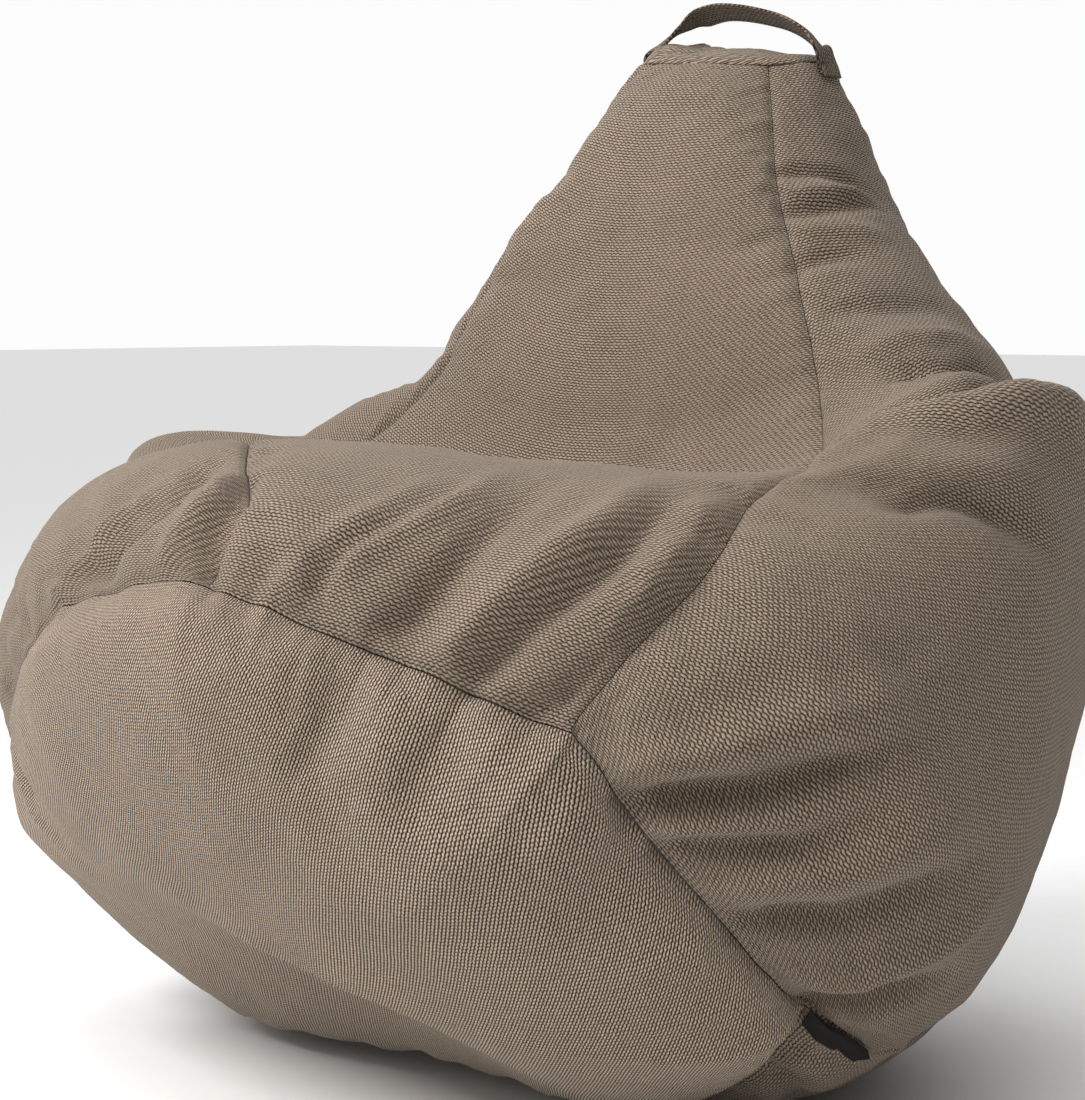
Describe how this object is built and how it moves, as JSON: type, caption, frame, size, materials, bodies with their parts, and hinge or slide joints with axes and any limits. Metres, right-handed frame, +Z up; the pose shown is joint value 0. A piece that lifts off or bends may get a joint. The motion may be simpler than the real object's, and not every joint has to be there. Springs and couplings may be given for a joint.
{
  "type": "bean bag chair",
  "caption": "Pear-shaped bean bag slumped into a chair, with a sewn six-gore knitted cover, carry strap, zip, inner liner and bead fill.",
  "frame": {"origin": "on the floor, under the middle of the chair's box", "axes": "+Z up, -Y is the front of the seat, +X is towards the viewer's right when facing the front"},
  "size_m": [1.0148, 0.8744, 0.9058],
  "materials": {
    "cover_knit": "matte chunky knit",
    "strap_knit": "matte knit",
    "label_weave": "matte woven tape",
    "zip_tape": "matte woven tape",
    "zip_coil": "satin",
    "zip_metal": "satin",
    "liner_cloth": "matte plain weave",
    "beads": "matte"
  },
  "bodies": {
    "bag": {"base_panel": "cover_knit", "front_gore": "cover_knit", "front_right_gore": "cover_knit", "back_right_gore": "cover_knit", "back_gore": "cover_knit", "back_left_gore": "cover_knit", "front_left_gore": "cover_knit", "top_cap": "cover_knit", "handle_end_left": "strap_knit", "handle_end_right": "strap_knit", "side_label": "label_weave", "zip_tape_left": "zip_tape", "zip_tape_right": "zip_tape", "zip_coil_left": "zip_coil", "zip_coil_right": "zip_coil", "zip_top_stop": "zip_metal", "zip_bottom_stop": "zip_metal", "liner_base": "liner_cloth", "liner_left": "liner_cloth", "liner_right": "liner_cloth", "liner_top": "liner_cloth", "liner_closure": "liner_cloth", "bead_fill": "beads"},
    "carry_handle": {"handle_strap": "strap_knit"},
    "slider": {"zip_slider": "zip_metal"},
    "pull": {"zip_pull": "zip_metal"}
  },
  "joints": [
    {"name": "handle_swing", "type": "hinge", "parent": "bag", "child": "carry_handle", "pos_m": [0.00686, 0.2893, 0.86178], "axis": [1, 0.0007, -0.0004], "range_deg": [-55, 55]},
    {"name": "zip_travel", "type": "hinge", "parent": "bag", "child": "slider", "pos_m": [-0.23902, 0.00532, 0.49572], "axis": [0.8891, -0.2158, -0.4037], "range_deg": [-33.4, 0]},
    {"name": "pull_swing", "type": "hinge", "parent": "slider", "child": "pull", "pos_m": [-0.13935, 0.41072, 0.5028], "axis": [0.8763, 0.3518, -0.3291], "range_deg": [0, 150]}
  ]
}
